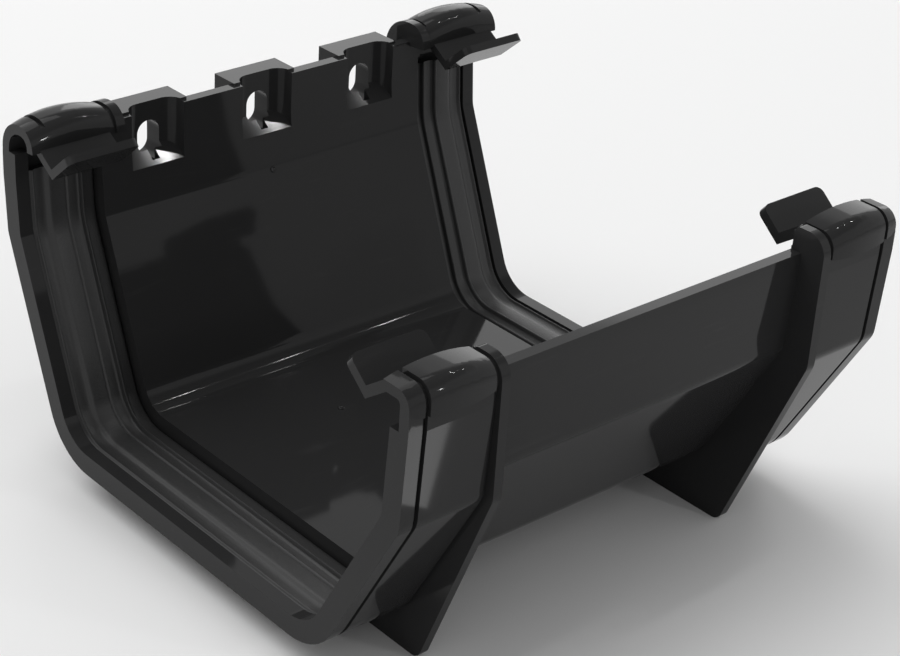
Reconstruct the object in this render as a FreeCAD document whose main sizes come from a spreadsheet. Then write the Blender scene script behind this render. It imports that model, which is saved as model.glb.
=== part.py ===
import FreeCAD, Part
import math
import os

import Sketcher

# Union bracket for a square section rain gutter, in millimetres.
# X runs along the gutter, +Y points to the fascia board behind and +Z is up.
# The origin is at the middle of the footprint, level with the bottom of the two webs.

os.makedirs("parts", exist_ok=True)
doc = FreeCAD.newDocument("gutter_union")
V = FreeCAD.Vector

# Driving dimensions, one named cell each

SIZES = {
    # whole fitting
    "length": 120.0,
    "half_width": 62.0,
    "fascia_gap": 1.0,
    "lean": 1.0,
    "wall": 2.4,
    "step": 4.6,
    # section of the trough, knees below the hood base
    "web_drop": 5.5,
    "knee_front": 18.9,
    "knee_rear": 12.5,
    "flank_front": 28.5,
    "flank_rear": 22.5,
    "corner_round": 14.0,
    "knee_round": 5.0,
    # top of the front wall above the feet, and of the rear wall above the front one
    "front_height": 64.6,
    "rear_rise": 5.2,
    # collars at the two ends, the hood base is below the front wall's top
    "collar": 21.3,
    "socket_depth": 18.6,
    "rim": 3.0,
    "rim_rear_rise": 5.5,
    "groove_width": 1.0,
    "groove_depth": 0.9,
    "bead_groove_width": 0.9,
    "bead_groove_depth": 0.45,
    "hood_base_drop": 3.2,
    "collar_overlap": 0.4,
    # webs under the collars, with a rim over both hoods
    "web": 2.0,
    "bead": 0.75,
    "rim_proud": 0.4,
    "rim_front_brow": 1.2,
    "toe_inset": 15.6,
    "toe_round": 2.6,
    "heel_round": 8.0,
    # hoods over the gutter's edges, rises above the wall beside each
    "hood_skin": 2.0,
    "hood_crown": 36.0,
    "hood_peak": 9.5,
    "hood_puff": 52.0,
    "hood_chin": 55.0,
    "hood_front_rise": 5.9,
    "hood_front_height": 6.7,
    "hood_front_depth": 6.8,
    "hood_front_bulge": 1.05,
    "hood_front_round": 3.4,
    "hood_rear_rise": 5.2,
    "hood_rear_height": 10.1,
    "hood_rear_depth": 11.2,
    "hood_rear_bulge": 1.05,
    "hood_rear_round": 6.6,
    "hood_rear_brow": 4.2,
    "hood_rear_lip": 5.7,
    # clip tongues, valleys measured from the lip and the top of their hood
    "clip_width": 16.2,
    "clip_offset": 9.8,
    "clip_round": 1.6,
    "clip_root": 0.5,
    "clip_front_thick": 2.0,
    "clip_front_reach": 6.2,
    "clip_front_drop": 6.0,
    "clip_front_fall": 36.0,
    "clip_front_rise": 39.6,
    "clip_front_leaf": 6.0,
    "clip_rear_thick": 1.7,
    "clip_rear_reach": 4.0,
    "clip_rear_drop": 7.7,
    "clip_rear_fall": 32.0,
    "clip_rear_rise": 41.0,
    "clip_rear_leaf": 7.7,
    # screw pockets on the back, heights below the rear wall's top
    "pocket_pitch": 27.7,
    "pocket_box": 15.7,
    "pocket_wide": 12.8,
    "pocket_rise": 0.5,
    "pocket_plate": 4.4,
    "pocket_depth": 12.5,
    "pocket_foot": 2.4,
    "pocket_slope": 38.0,
    "pocket_round": 3.4,
    "slot_width": 5.4,
    "slot_drop": 3.7,
    "slot_length": 8.6,
    "drain_width": 1.8,
    "drain_land": 0.6,
    # rubber seals in the collars, their ends measured from the hood base
    "seal_skin": 1.8,
    "seal_gap": 0.3,
    "seal_lip": 0.9,
    "seal_knee": 22.0,
    "seal_front_drop": 2.5,
    "seal_rear_rise": 1.0,
    "pad_start": 6.9,
    "pad_width": 4.5,
    "fin_start": 14.2,
    "fin_width": 1.0,
}

sheet = doc.addObject("Spreadsheet::Sheet", "Sizes")
for row, (alias, value) in enumerate(SIZES.items(), start=1):
    sheet.set(f"A{row}", alias)
    sheet.set(f"B{row}", repr(value))
    sheet.setAlias(f"B{row}", alias)
doc.recompute()

# The section lies in the plane across the gutter: sketch x is Y, sketch y is Z
ACROSS = FreeCAD.Rotation(V(1, 1, 1), 120)


def number(text):
    return float(sheet.evalExpression(text))


def sag(radius, distance):
    """How far an arc has dropped at a distance from its highest point."""
    return f"({radius} - sqrt({radius} * {radius} - ({distance}) * ({distance})))"


def outline(name, corners, x_text):
    """Closed sketch across the gutter at x, through corners of (y, z, round or None)."""
    sketch = doc.addObject("Sketcher::SketchObject", name)
    sketch.Placement = FreeCAD.Placement(V(number(x_text), 0, 0), ACROSS)
    sketch.setExpression("Placement.Base.x", x_text)
    points = [V(number(y), number(z), 0) for y, z, _ in corners]
    rounds = [number(r) if r else 0.0 for _, _, r in corners]
    ends = []
    for i, here in enumerate(points):
        before = (points[i - 1] - here).normalize()
        after = (points[(i + 1) % len(points)] - here).normalize()
        setback = rounds[i] / math.tan(before.getAngle(after) / 2)
        ends.append((here + before * setback, here + after * setback))
    for i in range(len(points)):
        sketch.addGeometry(Part.LineSegment(ends[i][1], ends[(i + 1) % len(points)][0]))

    def bind(kind, *where, text):
        index = sketch.addConstraint(Sketcher.Constraint(kind, *where, number(text)))
        sketch.setExpression(f"Constraints[{index}]", text)

    for i, (y_text, z_text, round_text) in enumerate(corners):
        line_in = (i - 1) % len(points)
        if not round_text:
            sketch.addConstraint(Sketcher.Constraint("Coincident", line_in, 2, i, 1))
            bind("DistanceX", i, 1, text=y_text)
            bind("DistanceY", i, 1, text=z_text)
            continue
        start, finish = ends[i]
        bisector = ((start - points[i]) + (finish - points[i])).normalize()
        reach = rounds[i] / math.sin((start - points[i]).getAngle(finish - points[i]) / 2)
        middle = points[i] + bisector * (reach - rounds[i])
        arc = sketch.addGeometry(Part.Arc(start, middle, finish))
        forward = (middle - start).cross(finish - start).z > 0
        first, last = (1, 2) if forward else (2, 1)
        sketch.addConstraint(Sketcher.Constraint("Tangent", line_in, 2, arc, first))
        sketch.addConstraint(Sketcher.Constraint("Tangent", arc, last, i, 1))
        bind("Radius", arc, text=round_text)
        corner = sketch.addGeometry(Part.Point(points[i]), True)
        bind("DistanceX", corner, 1, text=y_text)
        bind("DistanceY", corner, 1, text=z_text)
        sketch.addConstraint(Sketcher.Constraint("PointOnObject", corner, 1, line_in))
        sketch.addConstraint(Sketcher.Constraint("PointOnObject", corner, 1, i))
    return sketch


def prism(name, corners, x_from, x_to):
    """Solid with the outlined section between two places along the gutter."""
    solid = doc.addObject("Part::Extrusion", name)
    solid.Base = outline(name + "_outline", corners, x_from)
    solid.DirMode = "Normal"
    solid.Solid = True
    solid.setExpression("LengthFwd", f"({x_to}) - ({x_from})")
    return solid


def box(name, low, high):
    """Box between two corners given as texts."""
    solid = doc.addObject("Part::Box", name)
    for axis, size, start, stop in zip("xyz", ("Length", "Width", "Height"), low, high):
        solid.setExpression(f"Placement.Base.{axis}", start)
        solid.setExpression(size, f"({stop}) - ({start})")
    return solid


def barrel(name, radius, x_text, z_text):
    """Cylinder lying across the gutter."""
    solid = doc.addObject("Part::Cylinder", name)
    solid.Placement.Rotation = FreeCAD.Rotation(V(1, 0, 0), -90)
    solid.setExpression("Placement.Base.x", x_text)
    solid.setExpression("Placement.Base.y", "-2 * Sizes.half_width")
    solid.setExpression("Placement.Base.z", z_text)
    solid.setExpression("Radius", radius)
    solid.setExpression("Height", "4 * Sizes.half_width")
    return solid


def mirrored(solid):
    """The same solid at the other end of the fitting."""
    copy = doc.addObject("Part::Mirroring", solid.Name + "_left")
    copy.Source = solid
    copy.Base = V(0, 0, 0)
    copy.Normal = V(1, 0, 0)
    return copy


def both_ends(*solids):
    return [each for solid in solids for each in (solid, mirrored(solid))]


def fused(name, solids):
    result = doc.addObject("Part::MultiFuse", name)
    result.Shapes = solids
    return result


def cut(name, base, tool):
    result = doc.addObject("Part::Cut", name)
    result.Base = base
    result.Tool = tool
    return result


# Places along the gutter on the right half, worked out from the ends

END = "(Sizes.length / 2)"
INBOARD = "(Sizes.length / 2 - Sizes.collar)"
WEB_FACE = "(Sizes.length / 2 - Sizes.collar + Sizes.web)"
SHOULDER = "(Sizes.length / 2 - Sizes.socket_depth)"
RIM_FACE = "(Sizes.length / 2 - Sizes.rim)"
COLLAR_MIDDLE = "(Sizes.length / 2 - Sizes.collar / 2)"
PEAK = "(Sizes.length / 2 - Sizes.hood_peak)"

# Places across the gutter and heights

FASCIA = "(Sizes.half_width + Sizes.fascia_gap)"
CORE = "(Sizes.step + Sizes.wall)"
REAR_HEIGHT = "(Sizes.front_height + Sizes.rear_rise)"
HOOD_BASE = "(Sizes.front_height - Sizes.hood_base_drop)"
HOOD_TOP = {
    "front": "(Sizes.front_height + Sizes.hood_front_rise)",
    "rear": f"({REAR_HEIGHT} + Sizes.hood_rear_rise)",
}
CHIN = {side: f"({HOOD_TOP[side]} - Sizes.hood_{side}_height)" for side in HOOD_TOP}
RIM_TOP = {"front": HOOD_BASE, "rear": f"({HOOD_BASE} + Sizes.rim_rear_rise)"}
REAR_LIP = f"({HOOD_TOP['rear']} - Sizes.hood_rear_lip)"
POCKET_FLOOR = f"({REAR_HEIGHT} - Sizes.pocket_depth)"
SLOT_HIGH = f"({REAR_HEIGHT} - Sizes.slot_drop)"
SLOT_LOW = f"({REAR_HEIGHT} - Sizes.slot_drop - Sizes.slot_length)"
FAR_TOP = f"({HOOD_TOP['rear']} + 20)"


def crown_at(side, x_text):
    """Height of a hood's ridge at a place along the gutter."""
    return f"({HOOD_TOP[side]} - {sag('Sizes.hood_crown', f'{x_text} - {PEAK}')})"


def chin_at(side, x_text):
    return f"({CHIN[side]} + {sag('Sizes.hood_chin', f'{x_text} - {COLLAR_MIDDLE}')})"


def face_at(side, x_text):
    """How far a hood's outer face stands from the middle plane."""
    drop = sag("Sizes.hood_puff", f"{x_text} - {COLLAR_MIDDLE}")
    return f"(Sizes.half_width + Sizes.hood_{side}_bulge - {drop})"


def knee_height(knee):
    """Height of a knee above the underside of a collar."""
    return f"({HOOD_BASE} - Sizes.{knee} - Sizes.web_drop)"


def section(inset, front_top, rear_top, knee_round="Sizes.knee_round"):
    """Corners of the trough's section, moved inwards by inset, square at its top."""
    side = f"(Sizes.half_width - {inset})"
    knee_side = f"(Sizes.half_width - Sizes.lean - {inset})"

    def foot(knee, flank):
        run = f"{knee_height(knee)} * tan(Sizes.{flank} * 1 deg)"
        turn = f"{inset} * tan(45 deg - Sizes.{flank} * 0.5 deg)"
        return f"(Sizes.half_width - Sizes.lean - {run} - {turn})"

    def knee_at(knee, flank):
        return f"(Sizes.web_drop + {knee_height(knee)} + {inset} * tan(Sizes.{flank} * 0.5 deg))"

    sole = f"(Sizes.web_drop + {inset})"
    corner_round = f"(Sizes.corner_round - {inset})"
    return [
        (f"-{side}", front_top, None),
        (f"-{side}", HOOD_BASE, None),
        (f"-{knee_side}", knee_at("knee_front", "flank_front"), knee_round),
        (f"-{foot('knee_front', 'flank_front')}", sole, corner_round),
        (foot("knee_rear", "flank_rear"), sole, corner_round),
        (knee_side, knee_at("knee_rear", "flank_rear"), knee_round),
        (side, HOOD_BASE, None),
        (side, rear_top, None),
    ]


def stepped(front_top, rear_top):
    """Corners that leave two walls standing above the hood base."""
    inner = f"(Sizes.half_width - {CORE})"
    return [
        (inner, rear_top, None),
        (inner, HOOD_BASE, None),
        (f"-{inner}", HOOD_BASE, None),
        (f"-{inner}", front_top, None),
    ]


def web_outline():
    """One web: rim over both hoods, foot along the bottom, back edge on the fascia."""
    proud = "(Sizes.half_width + Sizes.bead)"
    front_top = f"({crown_at('front', WEB_FACE)} + Sizes.rim_proud)"
    rear_top = f"({crown_at('rear', WEB_FACE)} + Sizes.rim_proud)"
    front_lip = "(Sizes.half_width - Sizes.hood_front_depth + Sizes.rim_proud / 2)"
    rear_lip = "(Sizes.half_width - Sizes.hood_rear_depth - Sizes.rim_proud)"
    return [
        (f"-{front_lip}", front_top, "Sizes.rim_front_brow"),
        (f"-{proud}", front_top, "(Sizes.hood_front_round + Sizes.bead)"),
        (f"-{proud}", f"{HOOD_BASE} - Sizes.knee_front", "Sizes.knee_round"),
        ("-(Sizes.half_width - Sizes.toe_inset)", "0", "Sizes.toe_round"),
        (FASCIA, "0", "Sizes.heel_round"),
        (FASCIA, rear_top, "(Sizes.hood_rear_round + Sizes.bead)"),
        (rear_lip, rear_top, "Sizes.hood_rear_brow"),
        (rear_lip, HOOD_BASE, None),
        (f"-{front_lip}", HOOD_BASE, None),
    ]


def trough_mass():
    """Everything solid before the waterway and the sockets are opened."""
    walls = ("Sizes.front_height", REAR_HEIGHT)
    middle = prism("middle", section("Sizes.step", *walls) + stepped(*walls), f"-{SHOULDER}", SHOULDER)
    rises = [f"({chin_at(side, END)} + Sizes.collar_overlap)" for side in ("front", "rear")]
    collar = prism("collar", section("0", *rises), INBOARD, END)
    web = prism("web", web_outline(), INBOARD, WEB_FACE)
    boxes = [pocket_box(place) for place in (-1, 0, 1)]
    right = [collar, web, hood("front", -1), hood("rear", 1)]
    return fused("mass", [middle, *both_ends(*right), *boxes])


def hood(side, sign):
    """Dome over one edge of the gutter: a block rounded by three barrels and filleted."""
    lip = f"(Sizes.half_width - Sizes.hood_{side}_depth)"
    face = f"(Sizes.half_width + Sizes.hood_{side}_bulge)"
    spread = (f"-{face} - 1", f"-{lip}") if sign < 0 else (lip, f"{face} + 1")
    low = (INBOARD, spread[0], f"{CHIN[side]} - 1")
    high = (END, spread[1], f"{HOOD_TOP[side]} + 1")
    block = box(f"{side}_block", low, high)
    crown = barrel(f"{side}_crown", "Sizes.hood_crown", PEAK, f"{HOOD_TOP[side]} - Sizes.hood_crown")
    chin = barrel(f"{side}_chin", "Sizes.hood_chin", COLLAR_MIDDLE, f"{CHIN[side]} + Sizes.hood_chin")
    puff = doc.addObject("Part::Cylinder", f"{side}_puff")
    puff.setExpression("Placement.Base.x", COLLAR_MIDDLE)
    puff.setExpression("Placement.Base.y", f"{sign} * ({face} - Sizes.hood_puff)")
    puff.setExpression("Radius", "Sizes.hood_puff")
    puff.setExpression("Height", FAR_TOP)
    dome = doc.addObject("Part::MultiCommon", f"{side}_dome")
    dome.Shapes = [block, crown, chin, puff]
    doc.recompute()
    rounded = doc.addObject("Part::Fillet", f"{side}_hood")
    rounded.Base = dome
    low_end = number(f"{crown_at(side, INBOARD)} - {chin_at(side, INBOARD)}")
    narrow_end = number(f"{face_at(side, INBOARD)} - {lip}")
    outer_round = min(number(f"Sizes.hood_{side}_round"), 0.95 * low_end)
    rounds = [(face, outer_round)]
    if side == "rear":
        rounds.append((lip, min(number("Sizes.hood_rear_brow"), 0.95 * (narrow_end - outer_round))))
    edges = []
    for y, radius in rounds:
        corner = V(number(COLLAR_MIDDLE), sign * number(y), number(HOOD_TOP[side]))
        nearest = min(
            range(len(dome.Shape.Edges)),
            key=lambda i: dome.Shape.Edges[i].distToShape(Part.Vertex(corner))[0],
        )
        edges.append((nearest + 1, radius, radius))
    rounded.Edges = edges
    return rounded


def pocket_centre(place):
    return f"({place} * Sizes.pocket_pitch)"


def pocket_box(place):
    """Block on the back of the rear wall that one screw pocket is sunk into."""
    centre = pocket_centre(place)
    back = "(Sizes.half_width - Sizes.step - Sizes.wall / 2)"
    return box(
        f"pocket_box_{place + 1}",
        (f"{centre} - Sizes.pocket_box / 2", back, f"{POCKET_FLOOR} - Sizes.pocket_foot"),
        (f"{centre} + Sizes.pocket_box / 2", FASCIA, f"{REAR_HEIGHT} + Sizes.pocket_rise"),
    )


def pocket_hollow(place):
    """Screw pocket: open to the top and the front, with a floor that falls forwards."""
    centre = pocket_centre(place)
    front = f"(Sizes.half_width - {CORE} - 1)"
    back = f"({FASCIA} - Sizes.pocket_plate)"
    rise = f"({back} - {front}) * tan(Sizes.pocket_slope * 1 deg)"
    corners = [
        (front, POCKET_FLOOR, None),
        (back, f"{POCKET_FLOOR} + {rise}", None),
        (back, FAR_TOP, None),
        (front, FAR_TOP, None),
    ]
    half = "Sizes.pocket_wide / 2"
    hollow = prism(f"pocket_{place + 1}", corners, f"{centre} - {half}", f"{centre} + {half}")
    doc.recompute()
    rounded = doc.addObject("Part::Fillet", f"pocket_rounded_{place + 1}")
    rounded.Base = hollow
    back_y = number(back)
    radius = number("Sizes.pocket_round")
    rounded.Edges = [
        (i + 1, radius, radius)
        for i, edge in enumerate(hollow.Shape.Edges)
        if all(abs(v.Y - back_y) < 0.01 for v in edge.Vertexes) and edge.BoundBox.XLength < 0.01
    ]
    return rounded


def screw_slot(place):
    """Upright slot with round ends through the back plate of one pocket, and its drain."""
    centre = pocket_centre(place)
    half = "Sizes.slot_width / 2"
    front = f"({FASCIA} - Sizes.pocket_plate - 1)"
    back = f"({FASCIA} + 1)"
    waist = box(
        f"slot_waist_{place + 1}",
        (f"{centre} - {half}", front, f"{SLOT_LOW} + {half}"),
        (f"{centre} + {half}", back, f"{SLOT_HIGH} - {half}"),
    )
    rounds = []
    for end, height in (("low", f"{SLOT_LOW} + {half}"), ("high", f"{SLOT_HIGH} - {half}")):
        hole = doc.addObject("Part::Cylinder", f"slot_{end}_{place + 1}")
        hole.Placement.Rotation = FreeCAD.Rotation(V(1, 0, 0), -90)
        hole.setExpression("Placement.Base.x", centre)
        hole.setExpression("Placement.Base.y", front)
        hole.setExpression("Placement.Base.z", height)
        hole.setExpression("Radius", half)
        hole.setExpression("Height", f"{back} - {front}")
        rounds.append(hole)
    drain = box(
        f"drain_{place + 1}",
        (
            f"{centre} - Sizes.drain_width / 2",
            f"(Sizes.half_width - {CORE} + Sizes.drain_land)",
            f"{POCKET_FLOOR} - Sizes.pocket_foot - 1",
        ),
        (f"{centre} + Sizes.drain_width / 2", f"{front} + 1", SLOT_HIGH),
    )
    return [waist, *rounds, drain]


def openings():
    """Waterway, sockets, seal channels, hollows of the hoods, grooves and pockets."""
    rear_lip = "(Sizes.half_width - Sizes.hood_rear_depth - Sizes.clip_root)"
    under_lip = [
        (rear_lip, REAR_LIP, None),
        (rear_lip, FAR_TOP, None),
    ]
    way = section(CORE, FAR_TOP, f"({REAR_LIP} - 0.5)")
    waterway = prism("waterway", way + under_lip, f"-{END} - 1", f"{END} + 1")
    seats = [f"({RIM_TOP[side]} + 0.5)" for side in ("front", "rear")]
    socket = prism("socket", section("Sizes.step", *seats), SHOULDER, f"{END} + 1")
    channel = prism("channel", section("Sizes.wall", *seats), SHOULDER, RIM_FACE)
    right = [
        socket,
        channel,
        hood_hollow("front", -1),
        hood_hollow("rear", 1),
        groove("rim_groove", f"{RIM_FACE} - Sizes.groove_width", RIM_FACE, "Sizes.groove_depth"),
        groove("bead_groove", WEB_FACE, f"{WEB_FACE} + Sizes.bead_groove_width", "Sizes.bead_groove_depth"),
    ]
    tools = [waterway, *both_ends(*right)]
    for place in (-1, 0, 1):
        tools.append(pocket_hollow(place))
        tools.extend(screw_slot(place))
    return fused("openings", tools)


def hood_hollow(side, sign):
    """Room under one hood for the rolled edge of the gutter, open at the outboard end."""
    ceiling = f"({crown_at(side, END)} - Sizes.hood_skin)"
    outer = f"{sign} * (Sizes.half_width - Sizes.wall)"
    if side == "front":
        inner = (f"{sign} * (Sizes.half_width - {CORE} - 1)", ceiling, None)
    else:
        brow = "Sizes.hood_rear_brow - Sizes.hood_skin"
        inner = (f"{sign} * (Sizes.half_width - Sizes.hood_rear_depth + Sizes.hood_skin)", ceiling, brow)
    corners = [
        (outer, RIM_TOP[side], None),
        (outer, ceiling, f"Sizes.hood_{side}_round - Sizes.wall"),
        inner,
        (inner[0], RIM_TOP[side], None),
    ]
    return prism(f"{side}_hollow", corners, SHOULDER, f"{END} + 1")


def groove(name, x_from, x_to, depth):
    """Groove round the outside of a collar and over both its hoods."""
    low = (x_from, "-2 * Sizes.half_width", "-1")
    high = (x_to, "2 * Sizes.half_width", FAR_TOP)
    around = box(f"{name}_block", low, high)
    span = (f"{x_from} - 1", f"{x_to} + 1")
    middle = f"(({x_from}) / 2 + ({x_to}) / 2)"
    rise = f"({HOOD_BASE} + 1)"
    cores = [prism(f"{name}_core", section(depth, rise, rise), *span)]
    for side, sign in (("front", -1), ("rear", 1)):
        panel = f"{sign} * (Sizes.half_width - {depth})"
        face = f"{sign} * ({face_at(side, middle)} - {depth})"
        ceiling = f"({crown_at(side, middle)} - {depth})"
        chin = chin_at(side, middle)
        cores.append(prism(f"{name}_{side}_core", [
            (panel, HOOD_BASE, None),
            (panel, f"{chin} - {depth}", None),
            (face, f"{chin} + {depth}", None),
            (face, ceiling, f"(Sizes.hood_{side}_round - {depth})"),
            ("0", ceiling, None),
            ("0", HOOD_BASE, None),
        ], *span))
    return cut(name, around, fused(f"{name}_cores", cores))


def clip_tongue(side, sign):
    """Tongue that falls from the lip of a hood, turns in a valley and rises inwards."""
    rise = f"Sizes.clip_{side}_rise * 1 deg"
    fall = f"Sizes.clip_{side}_fall * 1 deg"
    thick = f"Sizes.clip_{side}_thick"
    lip = f"(Sizes.half_width - Sizes.hood_{side}_depth)"
    valley_y = f"({lip} - Sizes.clip_{side}_reach)"
    valley_z = f"({HOOD_TOP[side]} - Sizes.clip_{side}_drop)"
    root_y = f"({lip} + Sizes.clip_root)"
    root_z = f"({valley_z} + ({root_y} - {valley_y}) * tan({fall}))"
    tip_y = f"({valley_y} - Sizes.clip_{side}_leaf * cos({rise}))"
    tip_z = f"({valley_z} + Sizes.clip_{side}_leaf * sin({rise}))"
    mitre = f"{thick} / cos(({rise} + {fall}) / 2)"
    turn = f"(({fall} - {rise}) / 2)"
    corners = [
        (root_y, root_z, None),
        (valley_y, valley_z, None),
        (tip_y, tip_z, None),
        (f"({tip_y} - {thick} * sin({rise}))", f"{tip_z} - {thick} * cos({rise})", None),
        (f"({valley_y} + {mitre} * sin({turn}))", f"{valley_z} - {mitre} * cos({turn})", None),
        (f"({root_y} + {thick} * sin({fall}))", f"{root_z} - {thick} * cos({fall})", None),
    ]
    start = f"({END} - Sizes.clip_offset - Sizes.clip_width / 2)"
    corners = [(f"{sign} * {y}", z, r) for y, z, r in corners]
    tongue = prism(f"{side}_clip", corners, start, f"{start} + Sizes.clip_width")
    doc.recompute()
    tip = V(0, sign * number(tip_y), number(tip_z))
    under = V(0, number(corners[3][0]), number(corners[3][1]))
    rounded = doc.addObject("Part::Fillet", f"{side}_clip_rounded")
    rounded.Base = tongue
    radius = number("Sizes.clip_round")
    rounded.Edges = [
        (i + 1, radius, radius)
        for i, edge in enumerate(tongue.Shape.Edges)
        if edge.BoundBox.XLength < 0.01
        and all(min(V(0, v.Y, v.Z).distanceToPoint(p) for p in (tip, under)) < 0.01 for v in edge.Vertexes)
    ]
    return rounded


def union_body():
    """The black moulding, one piece."""
    opened = cut("opened", trough_mass(), openings())
    clips = both_ends(clip_tongue("front", -1), clip_tongue("rear", 1))
    body = fused("union_body", [opened, *clips])
    body.Label = "union_body"
    body.Refine = True
    return body


def seal_strip():
    """Rubber strip lying in the seal channel, with a broad pad and a narrow fin."""
    lip = "(Sizes.seal_skin + Sizes.seal_lip)"
    bands = (
        ("base", "Sizes.seal_skin", f"{SHOULDER} + Sizes.seal_gap", f"{RIM_FACE} - Sizes.seal_gap"),
        ("pad", lip, f"{END} - Sizes.pad_start - Sizes.pad_width", f"{END} - Sizes.pad_start"),
        ("fin", lip, f"{END} - Sizes.fin_start - Sizes.fin_width", f"{END} - Sizes.fin_start"),
    )
    strips = []
    for name, thick, x_from, x_to in bands:
        whole = prism(f"seal_{name}_whole", section("Sizes.wall", FAR_TOP, FAR_TOP), x_from, x_to)
        inner = prism(
            f"seal_{name}_inside",
            section(f"(Sizes.wall + {thick})", FAR_TOP, FAR_TOP, "Sizes.seal_knee"),
            f"{x_from} - 1",
            f"{x_to} + 1",
        )
        strips.append(cut(f"seal_{name}", whole, inner))
    front_end = f"{HOOD_BASE} - Sizes.seal_front_drop"
    rear_end = f"{HOOD_BASE} + Sizes.seal_rear_rise"
    trims = [
        box("seal_trim_front", (SHOULDER, "-2 * Sizes.half_width", front_end), (END, "0", FAR_TOP)),
        box("seal_trim_rear", (SHOULDER, "0", rear_end), (END, "2 * Sizes.half_width", FAR_TOP)),
    ]
    return cut("right_seal", fused("seal_strips", strips), fused("seal_trims", trims))


body = union_body()
right = seal_strip()
right.Label = "right_seal"
left = mirrored(right)
left.Label = "left_seal"
doc.recompute()

for item in doc.Objects:
    if "Invalid" in item.State or "Error" in item.State:
        raise RuntimeError(f"{item.Name} failed: {item.State}")

for item in (body, left, right):
    shape = item.Shape
    if shape.isNull() or not shape.isValid():
        raise RuntimeError(f"{item.Label} has no valid shape")
    shape.exportStep(f"parts/{item.Label}.step")
    print(item.Label, "solids", len(shape.Solids), "volume", round(shape.Volume / 1000, 2), "cm3")
    box_now = shape.BoundBox
    print("  x", round(box_now.XMin, 2), round(box_now.XMax, 2), end="")
    print("  y", round(box_now.YMin, 2), round(box_now.YMax, 2), end="")
    print("  z", round(box_now.ZMin, 2), round(box_now.ZMax, 2))
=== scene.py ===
"""Looks for the gutter union: gloss black moulding, rubber seals, camera, lamps and floor."""

import math

import bmesh
import bpy
from mathutils import Matrix, Vector


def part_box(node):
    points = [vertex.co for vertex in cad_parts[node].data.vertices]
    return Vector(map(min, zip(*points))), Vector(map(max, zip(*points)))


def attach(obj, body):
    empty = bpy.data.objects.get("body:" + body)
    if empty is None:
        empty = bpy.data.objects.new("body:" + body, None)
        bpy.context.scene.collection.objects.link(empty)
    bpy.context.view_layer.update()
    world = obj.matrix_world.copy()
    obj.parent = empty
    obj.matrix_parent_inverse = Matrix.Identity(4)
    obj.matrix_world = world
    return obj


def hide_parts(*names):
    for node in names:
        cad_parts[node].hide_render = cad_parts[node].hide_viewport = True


MM = 0.001
OPAQUE = 1.0

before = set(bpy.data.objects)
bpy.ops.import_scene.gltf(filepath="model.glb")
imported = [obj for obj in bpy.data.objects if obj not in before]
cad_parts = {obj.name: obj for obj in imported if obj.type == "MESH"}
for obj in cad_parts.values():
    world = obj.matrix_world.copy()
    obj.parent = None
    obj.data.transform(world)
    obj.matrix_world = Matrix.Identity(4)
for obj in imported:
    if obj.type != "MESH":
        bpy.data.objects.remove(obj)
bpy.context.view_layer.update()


def collection_link(obj):
    bpy.context.scene.collection.objects.link(obj)
    return obj


# Shader node helpers

class Nodes:
    """Adds nodes to a tree and links them, one line a node."""

    def __init__(self, tree):
        self.tree = tree

    def add(self, kind, settings=None, **inputs):
        node = self.tree.nodes.new(kind)
        for name, value in (settings or {}).items():
            setattr(node, name, value)
        for name, value in inputs.items():
            self.set(node, name.replace("_", " "), value)
        return node

    def set(self, node, name, value):
        socket = node.inputs[name]
        if isinstance(value, bpy.types.NodeSocket):
            self.tree.links.new(value, socket)
        else:
            socket.default_value = value

    def link(self, out, into):
        self.tree.links.new(out, into)

    def math(self, operation, first, second=0.0, third=0.0):
        node = self.tree.nodes.new("ShaderNodeMath")
        node.operation = operation
        for i, value in enumerate((first, second, third)):
            if isinstance(value, bpy.types.NodeSocket):
                self.tree.links.new(value, node.inputs[i])
            else:
                node.inputs[i].default_value = value
        return node.outputs[0]

    def colour_between(self, first, second, mask):
        """A colour that goes from the first to the second as the mask rises."""
        node = self.add("ShaderNodeMix", {"data_type": "RGBA"})
        colours = [socket for socket in node.inputs if socket.type == "RGBA"]
        colours[0].default_value = first
        colours[1].default_value = second
        self.tree.links.new(mask, node.inputs["Factor"])
        return next(socket for socket in node.outputs if socket.type == "RGBA")


def new_group(name, kind, sockets):
    """A node group with named sockets, each given as (name, in or out, type, value)."""
    group = bpy.data.node_groups.new(name, kind)
    for label, way, socket_type, value in sockets:
        socket = group.interface.new_socket(
            name=label,
            in_out="INPUT" if way == "in" else "OUTPUT",
            socket_type=socket_type,
        )
        if value is not None:
            socket.default_value = value
    nodes = Nodes(group)
    return group, nodes, nodes.add("NodeGroupInput"), nodes.add("NodeGroupOutput")


# Effects that the materials share

GRAIN_DETAIL = 3.0
GRAIN_PIT_SHARE = 0.5

SCUFF_TURN = (0.4, 0.9, 0.7)
SCUFF_STRETCH = (1.0, 9.0, 9.0)
SCUFF_DETAIL = 4.0
SCUFF_FROM = 0.62
SCUFF_CONTRAST = 9.0
SCUFF_SOFTNESS = 0.05
SCUFF_PATCH_SCALE = 45.0
SCUFF_PATCH_DETAIL = 2.0


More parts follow.
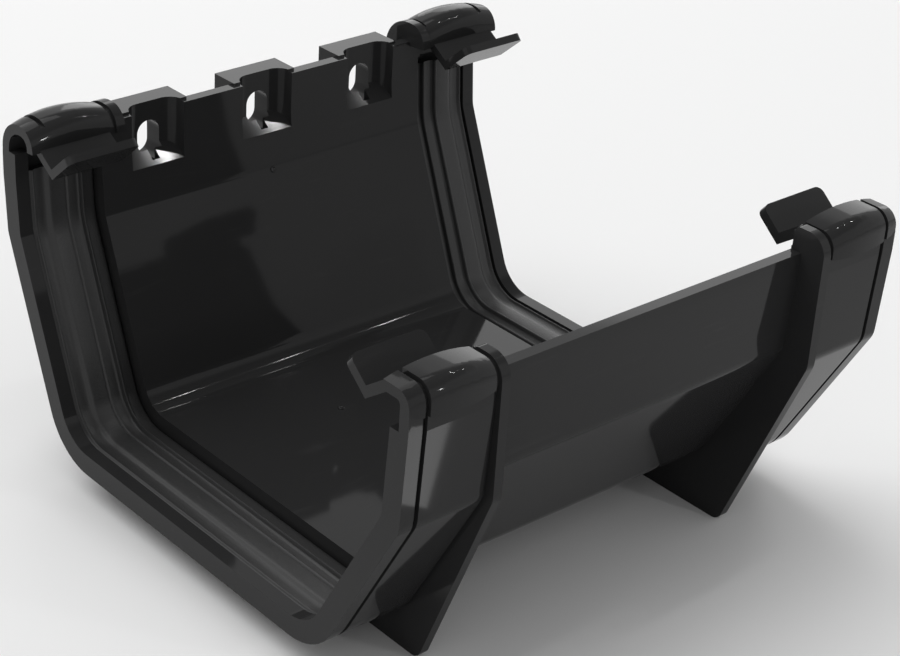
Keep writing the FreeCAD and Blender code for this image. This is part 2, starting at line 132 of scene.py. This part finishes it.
def fine_grain_group():
    """Speckle of a spark-eroded mould surface: its height, and a mask."""
    group, nodes, enter, leave = new_group("fine_grain", "ShaderNodeTree", [
        ("Grain Size", "in", "NodeSocketFloat", 0.4 * MM),
        ("Height", "out", "NodeSocketFloat", None),
        ("Speckle", "out", "NodeSocketFloat", None),
    ])
    place = nodes.add("ShaderNodeTexCoord").outputs["Object"]
    scale = nodes.math("DIVIDE", 1.0, enter.outputs["Grain Size"])
    coarse = nodes.add("ShaderNodeTexNoise", Vector=place, Scale=scale, Detail=GRAIN_DETAIL)
    pits = nodes.add("ShaderNodeTexVoronoi", Vector=place, Scale=scale)
    both = nodes.math(
        "MULTIPLY_ADD", pits.outputs["Distance"], GRAIN_PIT_SHARE, coarse.outputs["Fac"])
    nodes.link(both, leave.inputs["Height"])
    nodes.link(coarse.outputs["Fac"], leave.inputs["Speckle"])
    return group


def handling_group():
    """Faint scuffs that a moulding picks up in its bag, as a mask."""
    group, nodes, enter, leave = new_group("handling_marks", "ShaderNodeTree", [
        ("Scuff Length", "in", "NodeSocketFloat", 12 * MM),
        ("Amount", "in", "NodeSocketFloat", 0.5),
        ("Mask", "out", "NodeSocketFloat", None),
    ])
    place = nodes.add("ShaderNodeTexCoord").outputs["Object"]
    turned = nodes.add("ShaderNodeMapping", Vector=place)
    turned.inputs["Rotation"].default_value = SCUFF_TURN
    turned.inputs["Scale"].default_value = SCUFF_STRETCH
    scale = nodes.math("DIVIDE", 1.0, enter.outputs["Scuff Length"])
    scuffs = nodes.add(
        "ShaderNodeTexNoise", Vector=turned.outputs[0], Scale=scale, Detail=SCUFF_DETAIL)
    patches = nodes.add(
        "ShaderNodeTexNoise", Vector=place, Scale=SCUFF_PATCH_SCALE, Detail=SCUFF_PATCH_DETAIL)
    lines = nodes.math("SUBTRACT", scuffs.outputs["Fac"], SCUFF_FROM)
    lines = nodes.math("MULTIPLY", lines, SCUFF_CONTRAST)
    lines = nodes.math("SMOOTH_MIN", 1.0, lines, SCUFF_SOFTNESS)
    lines = nodes.math("MAXIMUM", lines, 0.0)
    here = nodes.math("MULTIPLY", lines, patches.outputs["Fac"])
    here = nodes.math("MULTIPLY", here, enter.outputs["Amount"])
    nodes.link(here, leave.inputs["Mask"])
    return group


FINE_GRAIN = fine_grain_group()
HANDLING = handling_group()


def group_node(nodes, group, **values):
    node = nodes.add("ShaderNodeGroup", {"node_tree": group})
    for name, value in values.items():
        nodes.set(node, name.replace("_", " "), value)
    return node


def new_material(name):
    material = bpy.data.materials.new(name)
    material.use_nodes = True
    tree = material.node_tree
    tree.nodes.clear()
    nodes = Nodes(tree)
    shader = nodes.add("ShaderNodeBsdfPrincipled")
    output = nodes.add("ShaderNodeOutputMaterial")
    nodes.link(shader.outputs[0], output.inputs["Surface"])
    return material, nodes, shader


# Finish of the moulding; its low IOR keeps it black beside a white floor

PVC_COLOUR = (0.0235, 0.0235, 0.0238, OPAQUE)
PVC_SCUFF_COLOUR = (0.036, 0.036, 0.0365, OPAQUE)
PVC_SCUFF_LENGTH = 14 * MM
PVC_SCUFF_AMOUNT = 0.5
PVC_ROUGHNESS = 0.045
PVC_CLOUD_ROUGHNESS = 0.03
PVC_SCUFF_ROUGHNESS = 0.12
PVC_CLOUD_SCALE = 60.0
PVC_CLOUD_DETAIL = 2.0
PVC_IOR = 1.15
PVC_SPECULAR = 1.0
PVC_WAVE_SCALE = 42.0
PVC_WAVE_DETAIL = 1.0
PVC_WAVE_STRENGTH = 0.3
PVC_WAVE_HEIGHT = 0.1 * MM


def black_pvc():
    """Gloss black PVC-U straight from a polished mould, with faint flow waves and scuffs."""
    material, nodes, shader = new_material("black_pvc")
    place = nodes.add("ShaderNodeTexCoord").outputs["Object"]
    marks = group_node(
        nodes, HANDLING, Scuff_Length=PVC_SCUFF_LENGTH, Amount=PVC_SCUFF_AMOUNT)
    mask = marks.outputs["Mask"]
    colour = nodes.colour_between(PVC_COLOUR, PVC_SCUFF_COLOUR, mask)
    nodes.link(colour, shader.inputs["Base Color"])
    cloud = nodes.add(
        "ShaderNodeTexNoise", Vector=place, Scale=PVC_CLOUD_SCALE, Detail=PVC_CLOUD_DETAIL)
    rough = nodes.math("MULTIPLY_ADD", cloud.outputs["Fac"], PVC_CLOUD_ROUGHNESS, PVC_ROUGHNESS)
    rough = nodes.math("MULTIPLY_ADD", mask, PVC_SCUFF_ROUGHNESS, rough)
    nodes.link(rough, shader.inputs["Roughness"])
    shader.inputs["IOR"].default_value = PVC_IOR
    shader.inputs["Specular IOR Level"].default_value = PVC_SPECULAR
    waves = nodes.add(
        "ShaderNodeTexNoise", Vector=place, Scale=PVC_WAVE_SCALE, Detail=PVC_WAVE_DETAIL)
    bump = nodes.add("ShaderNodeBump", Height=waves.outputs["Fac"],
                     Strength=PVC_WAVE_STRENGTH, Distance=PVC_WAVE_HEIGHT)
    nodes.link(bump.outputs[0], shader.inputs["Normal"])
    return material


# Finish of the seals

RUBBER_COLOUR = (0.023, 0.023, 0.0233, OPAQUE)
RUBBER_SPECK_COLOUR = (0.036, 0.036, 0.0363, OPAQUE)
RUBBER_ROUGHNESS = 0.28
RUBBER_SPECK_ROUGHNESS = 0.20
RUBBER_IOR = 1.4
RUBBER_SPECULAR = 0.45
RUBBER_GRAIN_SIZE = 0.35 * MM
RUBBER_GRAIN_STRENGTH = 0.5
RUBBER_GRAIN_HEIGHT = 0.06 * MM


def black_rubber():
    """Black EPDM: satin, finely grained, catching the light as small speckles."""
    material, nodes, shader = new_material("black_rubber")
    grain = group_node(nodes, FINE_GRAIN, Grain_Size=RUBBER_GRAIN_SIZE)
    speckle = grain.outputs["Speckle"]
    colour = nodes.colour_between(RUBBER_COLOUR, RUBBER_SPECK_COLOUR, speckle)
    nodes.link(colour, shader.inputs["Base Color"])
    rough = nodes.math("MULTIPLY_ADD", speckle, RUBBER_SPECK_ROUGHNESS, RUBBER_ROUGHNESS)
    nodes.link(rough, shader.inputs["Roughness"])
    shader.inputs["IOR"].default_value = RUBBER_IOR
    shader.inputs["Specular IOR Level"].default_value = RUBBER_SPECULAR
    bump = nodes.add("ShaderNodeBump", Height=grain.outputs["Height"],
                     Strength=RUBBER_GRAIN_STRENGTH, Distance=RUBBER_GRAIN_HEIGHT)
    nodes.link(bump.outputs[0], shader.inputs["Normal"])
    return material


BLACK_PVC = black_pvc()
BLACK_RUBBER = black_rubber()


# The moulding; the overlap clamp holds EDGE_ROUND to what its smallest edges leave, about 0.002 mm

MERGE_DISTANCE = 0.002 * MM
FLAT_WITHIN = math.radians(0.6)
SHARP_ANGLE = math.radians(32)
EDGE_ROUND = 0.28 * MM
EDGE_SEGMENTS = 2
LARGE_FACE_WEIGHT = 80


def finished_moulding():
    """The moulding as one closed skin, in place of the plain node."""
    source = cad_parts["union_body"]
    mesh = source.data.copy()
    mesh.name = "gutter_union_moulding"
    moulding = collection_link(bpy.data.objects.new("gutter_union_moulding", mesh))
    skin = bmesh.new()
    skin.from_mesh(mesh)
    bmesh.ops.remove_doubles(skin, verts=skin.verts, dist=MERGE_DISTANCE)
    bmesh.ops.dissolve_limit(
        skin,
        angle_limit=FLAT_WITHIN,
        verts=skin.verts,
        edges=skin.edges,
        delimit={"NORMAL"},
    )
    skin.to_mesh(mesh)
    skin.free()
    mesh.materials.clear()
    mesh.materials.append(BLACK_PVC)
    mesh.shade_smooth()
    mesh.set_sharp_from_angle(angle=SHARP_ANGLE)
    bevel = moulding.modifiers.new("edge rounds", "BEVEL")
    bevel.limit_method = "ANGLE"
    bevel.angle_limit = SHARP_ANGLE
    bevel.width = EDGE_ROUND
    bevel.segments = EDGE_SEGMENTS
    bevel.use_clamp_overlap = True
    bevel.harden_normals = False
    flat = moulding.modifiers.new("flat faces stay flat", "WEIGHTED_NORMAL")
    flat.mode = "FACE_AREA"
    flat.weight = LARGE_FACE_WEIGHT
    flat.keep_sharp = True
    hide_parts("union_body")
    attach(moulding, "root")


finished_moulding()


# Witness marks of the mould's gates: the place of each on the trough's inside, and its facing

GATE_MARKS = (
    ((1.0 * MM, 53.7 * MM, 49.6 * MM), (0, -0.94, 0.34)),
    ((-9.2 * MM, 15.8 * MM, 12.5 * MM), (0, 0, 1)),
)
GATE_RADIUS = 0.75 * MM
GATE_HEIGHT = 0.22 * MM
GATE_STEPS = 16

# Profile of a gate mark from its foot inwards, as shares of the radius and of the height
GATE_PROFILE = ((1.0, -0.5), (0.92, 0.7), (0.78, 1.0), (0.6, 0.85), (0.45, 0.45))


def gate_marks():
    """Small raised rings on the inside of the trough."""
    marks = bmesh.new()
    turns = [2 * math.pi * i / GATE_STEPS for i in range(GATE_STEPS)]
    for place, facing in GATE_MARKS:
        out = Vector(facing)
        side = out.orthogonal().normalized()
        across = out.cross(side)
        spokes = [side * math.cos(turn) + across * math.sin(turn) for turn in turns]
        loops = []
        for reach, height in GATE_PROFILE:
            centre = Vector(place) + out * height * GATE_HEIGHT
            radius = GATE_RADIUS * reach
            loops.append([marks.verts.new(centre + radius * spoke) for spoke in spokes])
        for lower, upper in zip(loops, loops[1:]):
            for i in range(GATE_STEPS):
                j = (i + 1) % GATE_STEPS
                marks.faces.new((lower[i], lower[j], upper[j], upper[i]))
        marks.faces.new(loops[0][::-1])
        marks.faces.new(loops[-1])
    bmesh.ops.recalc_face_normals(marks, faces=marks.faces)
    mesh = bpy.data.meshes.new("gate_marks")
    marks.to_mesh(mesh)
    marks.free()
    mesh.materials.append(BLACK_PVC)
    mesh.shade_smooth()
    piece = collection_link(bpy.data.objects.new("gate_marks", mesh))
    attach(piece, "root")


gate_marks()


# The seals, swept along the channel that they lie in

SEAL_LOW, SEAL_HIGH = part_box("right_seal")
SEAL_OUTER_EDGE = max(abs(SEAL_LOW.x), abs(SEAL_HIGH.x))

HALF_WIDTH = 62 * MM
WALL_LEAN = 1 * MM
SOLE_HEIGHT = 5.5 * MM
HOOD_BASE = 61.4 * MM
SEAL_INSET = 2.4 * MM

# Height of each wall's knee, and how far the flank under it leans from upright
KNEES = {
    "front": (42.5 * MM, math.radians(28.5)),
    "rear": (48.9 * MM, math.radians(22.5)),
}
SEAL_TOPS = {"front": 58.9 * MM, "rear": SEAL_HIGH.z}
SEAL_KNEE_ROUND = 19.5 * MM
SEAL_CORNER_ROUND = 11.6 * MM
TURN_STEPS = 12
SEAL_MERGE_DISTANCE = 0.001 * MM
SEAL_SHARP_ANGLE = math.radians(55)
SQUARE_CORNER = math.radians(90)

# The seal's own cross section: distance from its outer edge and height over the wall, in mm
SEAL_PROFILE = (
    (0.0, 0.0), (0.0, 1.6), (0.15, 1.7), (0.35, 1.75), (0.45, 1.95), (0.6, 2.12), (0.75, 2.12),
    (0.9, 1.95), (1.0, 1.72), (1.3, 1.6), (2.4, 1.56), (3.2, 1.62), (3.6, 1.85), (3.85, 2.2),
    (4.1, 2.36), (4.6, 2.4), (7.3, 2.4), (7.65, 2.32), (7.85, 2.3), (8.0, 2.55), (8.15, 2.7),
    (8.35, 2.68), (8.5, 2.45), (8.6, 2.0), (8.75, 1.7), (9.1, 1.56), (10.6, 1.52), (11.1, 1.58),
    (11.3, 1.9), (11.42, 2.4), (11.55, 2.6), (11.75, 2.6), (11.9, 2.4), (12.0, 1.9), (12.15, 1.62),
    (12.6, 1.54), (14.5, 1.54), (14.8, 1.5), (15.0, 1.3), (15.0, 0.0),
)


def seal_route():
    """Corners of the line on which the seal lies, front top to rear top, as (y, z, kind)."""
    route = []
    for side, sign in (("front", -1), ("rear", 1)):
        knee, flank = KNEES[side]
        lean = WALL_LEAN / (HOOD_BASE - knee)
        top = SEAL_TOPS[side]
        knee_in = HALF_WIDTH - WALL_LEAN - SEAL_INSET
        foot = HALF_WIDTH - WALL_LEAN - (knee - SOLE_HEIGHT) * math.tan(flank)
        foot -= SEAL_INSET * math.tan((SQUARE_CORNER - flank) / 2)
        corners = [
            (sign * (knee_in + min(top - knee, HOOD_BASE - knee) * lean), top, "end"),
            (sign * knee_in, knee + SEAL_INSET * math.tan(flank / 2), "knee"),
            (sign * foot, SOLE_HEIGHT + SEAL_INSET, "corner"),
        ]
        route += corners if side == "front" else corners[::-1]
    return route


def seal_tree():
    """Sweeps the profile along the route, with its turns rounded by named radii."""
    tree, nodes, enter, leave = new_group("seal_sweep", "GeometryNodeTree", [
        ("Geometry", "in", "NodeSocketGeometry", None),
        ("Knee Round", "in", "NodeSocketFloat", SEAL_KNEE_ROUND),
        ("Corner Round", "in", "NodeSocketFloat", SEAL_CORNER_ROUND),
        ("Turn Steps", "in", "NodeSocketInt", TURN_STEPS),
        ("Thickness", "in", "NodeSocketFloat", 1.0),
        ("Finish", "in", "NodeSocketMaterial", None),
        ("Geometry", "out", "NodeSocketGeometry", None),
    ])

    def attribute(name):
        node = nodes.add("GeometryNodeInputNamedAttribute", {"data_type": "FLOAT"}, Name=name)
        return node.outputs["Attribute"]

    parts = nodes.add(
        "GeometryNodeSeparateGeometry",
        {"domain": "POINT"},
        Geometry=enter.outputs["Geometry"],
        Selection=attribute("is_profile"),
    )
    profile = nodes.add("GeometryNodeMeshToCurve", Mesh=parts.outputs["Selection"])
    thick = nodes.add("GeometryNodeTransform", Geometry=profile.outputs[0])
    scale = nodes.add("ShaderNodeCombineXYZ", X=1.0, Y=enter.outputs["Thickness"], Z=1.0)
    nodes.link(scale.outputs[0], thick.inputs["Scale"])
    route = nodes.add("GeometryNodeMeshToCurve", Mesh=parts.outputs["Inverted"])
    radius = nodes.math("MULTIPLY", attribute("is_knee"), enter.outputs["Knee Round"])
    radius = nodes.math(
        "MULTIPLY_ADD", attribute("is_corner"), enter.outputs["Corner Round"], radius)
    rounded = nodes.add(
        "GeometryNodeFilletCurve", {"mode": "POLY"}, Curve=route.outputs[0], Radius=radius)
    nodes.link(enter.outputs["Turn Steps"], rounded.inputs["Count"])
    upright = nodes.add("GeometryNodeSetCurveNormal", {"mode": "FREE"}, Curve=rounded.outputs[0])
    upright.inputs["Normal"].default_value = (1, 0, 0)
    sweep = nodes.add("GeometryNodeCurveToMesh", Curve=upright.outputs[0])
    nodes.link(thick.outputs[0], sweep.inputs["Profile Curve"])
    sweep.inputs["Fill Caps"].default_value = True
    solid = nodes.add("GeometryNodeRealizeInstances", Geometry=sweep.outputs[0])
    finish = nodes.add("GeometryNodeSetMaterial", Geometry=solid.outputs[0])
    nodes.link(enter.outputs["Finish"], finish.inputs["Material"])
    nodes.link(finish.outputs[0], leave.inputs["Geometry"])
    return tree


def set_input(modifier, name, value):
    """Sets a modifier's input by the socket's identifier."""
    for item in modifier.node_group.interface.items_tree:
        if item.name == name and item.in_out == "INPUT":
            modifier[item.identifier] = value
            return
    raise KeyError(name)


def seal_lines(name):
    """The route and the closed profile as one mesh of edges, told apart by attributes."""
    route = seal_route()
    first = len(route)
    count = len(SEAL_PROFILE)
    points = [(0, y, z) for y, z, _ in route]
    points += [(distance * MM, -height * MM, 0) for distance, height in SEAL_PROFILE]
    edges = [(i, i + 1) for i in range(first - 1)]
    edges += [(first + i, first + (i + 1) % count) for i in range(count)]
    lines = bpy.data.meshes.new(name)
    lines.from_pydata(points, edges, [])
    kinds = [kind for _, _, kind in route] + ["profile"] * count
    for kind in ("profile", "knee", "corner"):
        values = lines.attributes.new(f"is_{kind}", "FLOAT", "POINT")
        values.data.foreach_set("value", [float(here == kind) for here in kinds])
    return lines


def rubber_seal(name, node, tree, sign):
    """One seal strip as a closed sweep, in place of its plain node; sign is its end of the part."""
    lines = seal_lines(name + "_lines")
    holder = collection_link(bpy.data.objects.new(name + "_holder", lines))
    modifier = holder.modifiers.new("sweep", "NODES")
    modifier.node_group = tree
    set_input(modifier, "Finish", BLACK_RUBBER)
    graph = bpy.context.evaluated_depsgraph_get()
    mesh = bpy.data.meshes.new_from_object(holder.evaluated_get(graph))
    bpy.data.objects.remove(holder)
    mesh.name = name
    for vertex in mesh.vertices:
        vertex.co.x = sign * (SEAL_OUTER_EDGE - vertex.co.x)
    skin = bmesh.new()
    skin.from_mesh(mesh)
    bmesh.ops.remove_doubles(skin, verts=skin.verts, dist=SEAL_MERGE_DISTANCE)
    bmesh.ops.recalc_face_normals(skin, faces=skin.faces)
    skin.to_mesh(mesh)
    skin.free()
    mesh.shade_smooth()
    mesh.set_sharp_from_angle(angle=SEAL_SHARP_ANGLE)
    seal = collection_link(bpy.data.objects.new(name, mesh))
    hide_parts(node)
    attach(seal, "root")


SEAL_TREE = seal_tree()
rubber_seal("left_rubber_seal", "left_seal", SEAL_TREE, -1)
rubber_seal("right_rubber_seal", "right_seal", SEAL_TREE, 1)


# Camera at the photograph's angle

IMAGE_WIDTH = 900
FOCAL_PIXELS = 2286
AXIS_PIXEL_X = 300
CAMERA_PLACE = Vector((-270.32, -296.44, 250.87)) * MM
CAMERA_PITCH = math.radians(28.39)
CAMERA_AZIMUTH = math.radians(38.64)
CAMERA_ROLL = math.radians(-1.76)
SENSOR_WIDTH_MM = 36
NEAREST_SEEN = 0.01
FARTHEST_SEEN = 50


def make_camera():
    data = bpy.data.cameras.new("photo_camera")
    data.sensor_fit = "HORIZONTAL"
    data.sensor_width = SENSOR_WIDTH_MM
    data.lens = FOCAL_PIXELS / IMAGE_WIDTH * data.sensor_width
    data.shift_x = (IMAGE_WIDTH / 2 - AXIS_PIXEL_X) / IMAGE_WIDTH
    data.clip_start = NEAREST_SEEN
    data.clip_end = FARTHEST_SEEN
    forward = Vector((
        math.sin(CAMERA_AZIMUTH) * math.cos(CAMERA_PITCH),
        math.cos(CAMERA_AZIMUTH) * math.cos(CAMERA_PITCH),
        -math.sin(CAMERA_PITCH),
    ))
    level = Vector((math.cos(CAMERA_AZIMUTH), -math.sin(CAMERA_AZIMUTH), 0))
    down = forward.cross(level)
    right = level * math.cos(CAMERA_ROLL) + down * math.sin(CAMERA_ROLL)
    up = right.cross(forward)
    camera = collection_link(bpy.data.objects.new("photo_camera", data))
    axes = Matrix((right, up, -forward)).transposed()
    camera.matrix_world = Matrix.Translation(CAMERA_PLACE) @ axes.to_4x4()
    bpy.context.scene.camera = camera


# Floor and backdrop

FLOOR_REACH = 6.0
FLOOR_COLOUR = (0.88, 0.88, 0.88, OPAQUE)
FLOOR_ROUGHNESS = 0.9

# The backdrop is white up to SKY_WHITE_TOP and darkens to ROOM_LEVEL at SKY_DARK_FROM
SKY_WHITE_TOP = math.sin(math.radians(34))
SKY_DARK_FROM = math.sin(math.radians(46))
ROOM_LEVEL = 0.30
LIGHT_LEVEL = 0.45


def make_floor():
    reach = FLOOR_REACH
    mesh = bpy.data.meshes.new("floor")
    corners = [(-reach, -reach, 0), (reach, -reach, 0), (reach, reach, 0), (-reach, reach, 0)]
    mesh.from_pydata(corners, [], [(0, 1, 2, 3)])
    floor = collection_link(bpy.data.objects.new("floor", mesh))
    material, _, shader = new_material("pale_floor")
    shader.inputs["Base Color"].default_value = FLOOR_COLOUR
    shader.inputs["Roughness"].default_value = FLOOR_ROUGHNESS
    mesh.materials.append(material)


def make_world():
    """A backdrop that the camera and reflections see by height; it lights at LIGHT_LEVEL."""
    world = bpy.data.worlds.new("studio")
    bpy.context.scene.world = world
    world.use_nodes = True
    tree = world.node_tree
    tree.nodes.clear()
    nodes = Nodes(tree)
    place = nodes.add("ShaderNodeTexCoord")
    way = nodes.add("ShaderNodeSeparateXYZ", Vector=place.outputs["Generated"])
    sky = nodes.add(
        "ShaderNodeMapRange", {"interpolation_type": "SMOOTHSTEP"}, Value=way.outputs["Z"])
    sky.inputs["From Min"].default_value = SKY_WHITE_TOP
    sky.inputs["From Max"].default_value = SKY_DARK_FROM
    sky.inputs["To Min"].default_value = 1.0
    sky.inputs["To Max"].default_value = ROOM_LEVEL
    path = nodes.add("ShaderNodeLightPath")
    seen = nodes.math("MAXIMUM", path.outputs["Is Camera Ray"], path.outputs["Is Glossy Ray"])
    seen = nodes.math("MAXIMUM", seen, path.outputs["Is Transmission Ray"])
    strength = nodes.add("ShaderNodeMix", Factor=seen)
    strength.inputs["A"].default_value = LIGHT_LEVEL
    nodes.link(sky.outputs["Result"], strength.inputs["B"])
    background = nodes.add("ShaderNodeBackground", Strength=strength.outputs["Result"])
    background.inputs["Color"].default_value = (1, 1, 1, OPAQUE)
    output = nodes.add("ShaderNodeOutputWorld")
    nodes.link(background.outputs[0], output.inputs["Surface"])


# Lamps: name, place, aim, sides in metres and watts

SOFT_LAMPS = (
    ("overhead_softbox", (-0.35, 0.80, 1.60), (0, 0, 0.03), (2.2, 1.8), 24),
    ("back_softbox", (0.98, 0.76, 0.46), (0, 0, 0.05), (1.0, 0.5), 2.2),
    ("front_lamp", (0.20, -0.62, 0.30), (0, -0.06, 0.06), (0.02, 0.04), 0.25),
)

# One small lamp aimed at the floor of each screw pocket, and the pocket floor that it faces
POCKET_LAMPS = (
    ((0.274, -0.064, 0.537), (-0.0251, 0.0568, 0.0595)),
    ((0.325, -0.057, 0.520), (0.0030, 0.0579, 0.0603)),
    ((0.377, -0.058, 0.503), (0.0316, 0.0573, 0.0598)),
)
POCKET_LAMP_SIDES = (0.005, 0.014)
POCKET_LAMP_WATTS = 0.045
POCKET_LAMP_ALONG = (0.404, -0.737, -0.520)

# A white card lying in front, mirrored in the outboard part of the near collar's panel
CARD_PLACE = (-0.0027, -0.1182, 0.001)
CARD_AIM = (-0.0027, -0.1182, 0.2)
CARD_SIDES = (0.012, 0.036)
CARD_WATTS = 0.0044
CARD_ALONG = (0.757, -0.651, 0)


def area_lamp(name, place, aim, sides, watts, along=(0, 0, 1)):
    """A rectangular lamp facing aim; along is the way that its second side runs."""
    data = bpy.data.lights.new(name, "AREA")
    data.shape = "RECTANGLE"
    data.size, data.size_y = sides
    data.energy = watts
    lamp = collection_link(bpy.data.objects.new(name, data))
    back = (Vector(place) - Vector(aim)).normalized()
    side = Vector(along).cross(back).normalized()
    axes = Matrix((side, back.cross(side), back)).transposed()
    lamp.matrix_world = Matrix.Translation(place) @ axes.to_4x4()
    return lamp


make_camera()
make_world()
make_floor()
for lamp_name, lamp_place, lamp_aim, lamp_sides, lamp_watts in SOFT_LAMPS:
    area_lamp(lamp_name, lamp_place, lamp_aim, lamp_sides, lamp_watts)
for number, (lamp_place, pocket_floor) in enumerate(POCKET_LAMPS, start=1):
    area_lamp(f"pocket_lamp_{number}", lamp_place, pocket_floor,
              POCKET_LAMP_SIDES, POCKET_LAMP_WATTS, POCKET_LAMP_ALONG)
card = area_lamp("front_card", CARD_PLACE, CARD_AIM, CARD_SIDES, CARD_WATTS, CARD_ALONG)
card.visible_camera = False

bpy.context.scene.view_settings.view_transform = "Standard"
